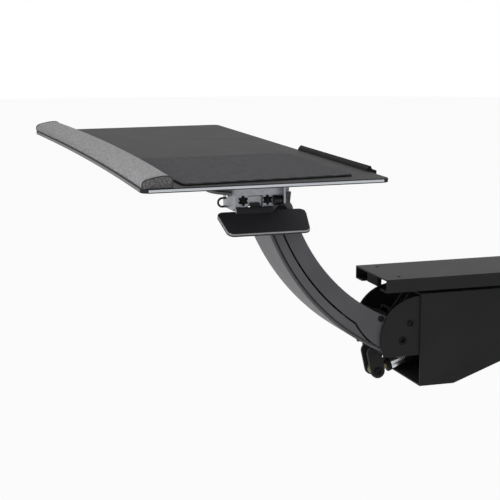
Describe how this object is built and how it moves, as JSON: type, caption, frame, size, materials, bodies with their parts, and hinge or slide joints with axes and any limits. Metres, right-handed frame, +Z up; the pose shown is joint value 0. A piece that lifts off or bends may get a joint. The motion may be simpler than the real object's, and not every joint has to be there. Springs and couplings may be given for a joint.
{
  "type": "keyboard tray under desk",
  "caption": "Wide tray board with palm rest, pad and rear ledge on a curved sit-stand arm with gas spring, release paddle and an under-desk track.",
  "frame": {"origin": "middle of the track's outer screw pattern, on the face that meets the underside of the desk", "axes": "+Z up into the desk, -Y towards the user, +X to the user's right"},
  "size_m": [0.673, 0.8498, 0.3408],
  "materials": {
    "arm_grey": "grey powder coat",
    "black_plastic": "fine grained black plastic",
    "black_steel": "satin black paint",
    "board": "satin black laminate",
    "cable": "black cable jacket",
    "chrome": "polished tube",
    "dark_steel": "dark grey paint",
    "nylon": "natural nylon",
    "pad": "dark grey cloth",
    "palm": "speckled grey foam",
    "rubber": "moulded rubber",
    "track": "satin black powder coat",
    "yellow_zinc": "yellow passivated zinc",
    "zinc": "zinc plated"
  },
  "bodies": {
    "track": {"track": "track", "track_stops": "rubber"},
    "carriage": {"carriage_plate": "zinc", "carriage_glides": "nylon", "swivel_bolt": "zinc", "swivel_nut": "zinc"},
    "hinge": {"thrust_washer": "nylon", "hinge_bracket": "black_steel", "spring_housing": "black_steel", "housing_screws": "zinc", "arm_pivot_bolts": "dark_steel", "arm_stop_screws": "dark_steel", "lower_link_pin": "zinc", "spring_anchor": "dark_steel", "anchor_screws": "zinc"},
    "arm": {"arm_channel": "arm_grey", "arm_cover": "arm_grey", "cover_screws": "zinc", "arm_pivot_bushes": "nylon", "head_pivot_bushes": "nylon", "spring_lug": "black_steel", "lug_screws": "zinc", "lug_pin": "zinc", "release_cable": "cable", "cable_clips": "black_plastic", "clip_bolts": "black_steel"},
    "link": {"levelling_link": "dark_steel"},
    "spring_cylinder": {"spring_eye": "yellow_zinc", "spring_collar": "black_plastic", "spring_tube": "chrome", "spring_gland": "black_plastic"},
    "spring_piston": {"spring_rod": "chrome", "rod_end": "yellow_zinc", "anchor_pin": "zinc"},
    "head": {"head_bracket": "arm_grey", "head_pivot_pins": "black_steel", "upper_link_pin": "zinc", "turntable_rivet": "zinc", "release_bracket": "zinc", "bracket_screws": "zinc", "slide_studs": "zinc", "star_nuts": "black_plastic", "cable_loop": "black_plastic", "cable_boot": "black_plastic", "paddle_pin": "zinc"},
    "lock_plate": {"release_plate": "zinc"},
    "paddle": {"release_paddle": "black_plastic"},
    "turntable": {"turntable_top": "dark_steel", "tilt_pin": "zinc"},
    "tray": {"tray_mount": "dark_steel", "mount_screws": "zinc", "tray_board": "board", "palm_rest": "palm", "mouse_pad": "pad", "rear_ledge": "black_plastic", "ledge_screws": "zinc"}
  },
  "joints": [
    {"name": "track_slide", "type": "slide", "parent": "track", "child": "carriage", "axis": [0, 1, 0], "range_m": [-0.045, 0.03]},
    {"name": "arm_swivel", "type": "hinge", "parent": "carriage", "child": "hinge", "pos_m": [0, -0.115, 0], "axis": [0, 0, 1], "range_deg": [-35, 35]},
    {"name": "arm_lift", "type": "hinge", "parent": "hinge", "child": "arm", "pos_m": [0, -0.198, -0.086], "axis": [-1, 0, 0], "range_deg": [-72, 2]},
    {"name": "link_swing", "type": "hinge", "parent": "hinge", "child": "link", "pos_m": [0, -0.195, -0.0715], "axis": [-1, 0, 0], "range_deg": [-72.5, 2.5]},
    {"name": "spring_swing", "type": "hinge", "parent": "arm", "child": "spring_cylinder", "pos_m": [0, -0.218, -0.1365], "axis": [1, 0, 0], "range_deg": [-68.48, 2.39]},
    {"name": "spring_stroke", "type": "slide", "parent": "spring_cylinder", "child": "spring_piston", "axis": [0, 0.9477, 0.3193], "range_m": [-0.06762, 0.00236]},
    {"name": "head_level", "type": "hinge", "parent": "arm", "child": "head", "pos_m": [0, -0.36977, 0.09885], "axis": [-1, 0, 0], "range_deg": [-2.5, 72.5]},
    {"name": "paddle_squeeze", "type": "hinge", "parent": "head", "child": "paddle", "pos_m": [0.05725, -0.43677, 0.10235], "axis": [0, -1, 0], "range_deg": [0, 14], "stiffness_Nm_per_rad": 0.4, "springref_deg": -6.88},
    {"name": "lock_release", "type": "slide", "parent": "head", "child": "lock_plate", "axis": [-1, 0, 0], "range_m": [0, 0.0031]},
    {"name": "tray_swivel", "type": "hinge", "parent": "head", "child": "turntable", "pos_m": [0, -0.40207, 0.12185], "axis": [0, 0, 1], "range_deg": [-20, 20]},
    {"name": "tray_tilt", "type": "hinge", "parent": "turntable", "child": "tray", "pos_m": [0, -0.40207, 0.14785], "axis": [1, 0, 0], "range_deg": [-12, 12]}
  ],
  "couplings": [
    {"joint": "link_swing", "follows": "arm_lift", "ratio": 1},
    {"joint": "spring_swing", "follows": "arm_lift", "ratio": 0.9442},
    {"joint": "spring_stroke", "follows": "arm_lift", "m_per_rad": 0.05341},
    {"joint": "head_level", "follows": "arm_lift", "ratio": -1},
    {"joint": "lock_release", "follows": "paddle_squeeze", "m_per_rad": 0.012278}
  ]
}
